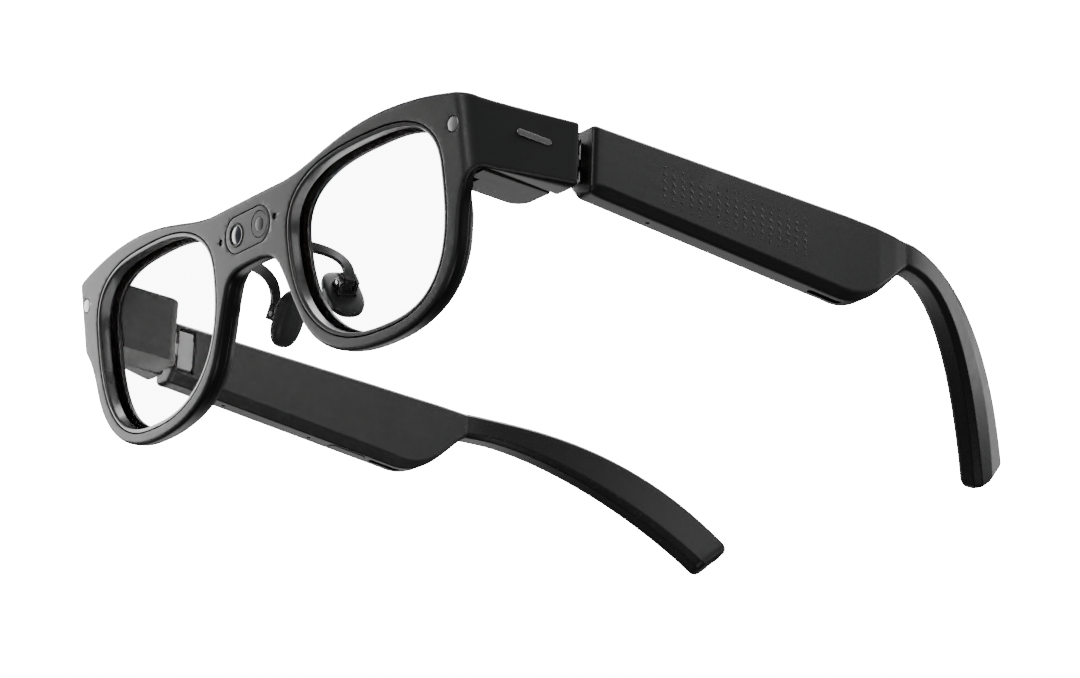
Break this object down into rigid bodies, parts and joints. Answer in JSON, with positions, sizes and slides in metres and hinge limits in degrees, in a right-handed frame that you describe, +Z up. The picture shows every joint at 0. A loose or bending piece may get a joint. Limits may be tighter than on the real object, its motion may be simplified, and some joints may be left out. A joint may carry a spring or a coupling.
{
  "type": "smart glasses",
  "caption": "Smart glasses: curved full-rim front with clear display lenses, a bridge camera, sprung nose pads on metal arms, and folding electronic temples with bent ear hooks.",
  "frame": {"origin": "middle of the glasses' bounding box on the surface they stand on, with the rims and the ends of the ear hooks resting on it", "axes": "+X to the wearer's left, +Y back along the open temples, +Z up"},
  "size_m": [0.1482, 0.1614, 0.0431],
  "materials": {
    "frame_satin": "satin graphite moulding",
    "rear_satin": "satin black moulding",
    "liner_satin": "smooth satin edge ring",
    "lens_glass": "clear, black-edged",
    "camera_glass": "coated glass",
    "window_gloss": "smoked gloss",
    "black_gloss": "gloss black",
    "circuit_board": "solder mask",
    "bright_trim": "fine satin",
    "flex_film": "film",
    "engine_black": "matte",
    "hinge_steel": "brushed",
    "pad_metal": "dark satin plating",
    "small_metal": "plain",
    "pad_silicone": "soft matte",
    "temple_satin": "satin black moulding",
    "battery_foil": "foil pouch",
    "speaker_grey": "moulded"
  },
  "bodies": {
    "front": {"front_frame": "frame_satin", "rear_frame": "rear_satin", "left_lens_ring": "liner_satin", "right_lens_ring": "liner_satin", "left_lens": "lens_glass", "right_lens": "lens_glass", "sensor_window": "window_gloss", "camera_barrel": "black_gloss", "camera_lens": "camera_glass", "light_sensor": "window_gloss", "camera_board": "circuit_board", "front_mics": "black_gloss", "front_studs": "bright_trim", "left_side_bar": "bright_trim", "right_side_bar": "bright_trim", "front_flex": "flex_film", "left_engine_cover": "rear_satin", "right_engine_cover": "rear_satin", "left_light_engine": "engine_black", "right_light_engine": "engine_black", "left_hinge_bracket": "hinge_steel", "right_hinge_bracket": "hinge_steel", "left_hinge_pin": "hinge_steel", "right_hinge_pin": "hinge_steel", "left_pad_arm": "pad_metal", "right_pad_arm": "pad_metal", "pad_screws": "small_metal"},
    "left_temple": {"left_hinge_arm": "hinge_steel", "left_outer_shell": "temple_satin", "left_inner_cover": "temple_satin", "left_ear_hook": "temple_satin", "left_battery": "battery_foil", "left_speaker": "speaker_grey", "left_speaker_mesh": "speaker_grey", "left_board": "circuit_board", "touch_sensor": "flex_film", "left_mic": "small_metal"},
    "right_temple": {"right_hinge_arm": "hinge_steel", "right_outer_shell": "temple_satin", "right_inner_cover": "temple_satin", "right_ear_hook": "temple_satin", "right_battery": "battery_foil", "right_speaker": "speaker_grey", "right_speaker_mesh": "speaker_grey", "right_board": "circuit_board", "right_mics": "small_metal", "usb_shell": "small_metal", "usb_tongue": "black_gloss", "usb_board": "circuit_board", "button_switch": "small_metal"},
    "left_nose_pad": {"left_pad": "pad_silicone", "left_pad_clip": "pad_metal"},
    "right_nose_pad": {"right_pad": "pad_silicone", "right_pad_clip": "pad_metal"},
    "button": {"action_button": "temple_satin"}
  },
  "joints": [
    {"name": "left_temple_hinge", "type": "hinge", "parent": "front", "child": "left_temple", "pos_m": [0.067, -0.05463, 0.03258], "axis": [0, 0.0375, 0.9993], "range_deg": [-6, 84]},
    {"name": "right_temple_hinge", "type": "hinge", "parent": "front", "child": "right_temple", "pos_m": [-0.067, -0.05463, 0.03258], "axis": [0, -0.0375, -0.9993], "range_deg": [-6, 68]},
    {"name": "left_pad_rock", "type": "hinge", "parent": "front", "child": "left_nose_pad", "pos_m": [0.01163, -0.0642, 0.02157], "axis": [0.2373, 0.9574, 0.1646], "range_deg": [-8, 8]},
    {"name": "right_pad_rock", "type": "hinge", "parent": "front", "child": "right_nose_pad", "pos_m": [-0.01163, -0.0642, 0.02157], "axis": [0.2373, -0.9574, -0.1646], "range_deg": [-8, 8]},
    {"name": "button_press", "type": "slide", "parent": "right_temple", "child": "button", "axis": [-0.0014, 0.1028, 0.9947], "range_m": [0, 0.0004], "stiffness_N_per_m": 2500}
  ]
}
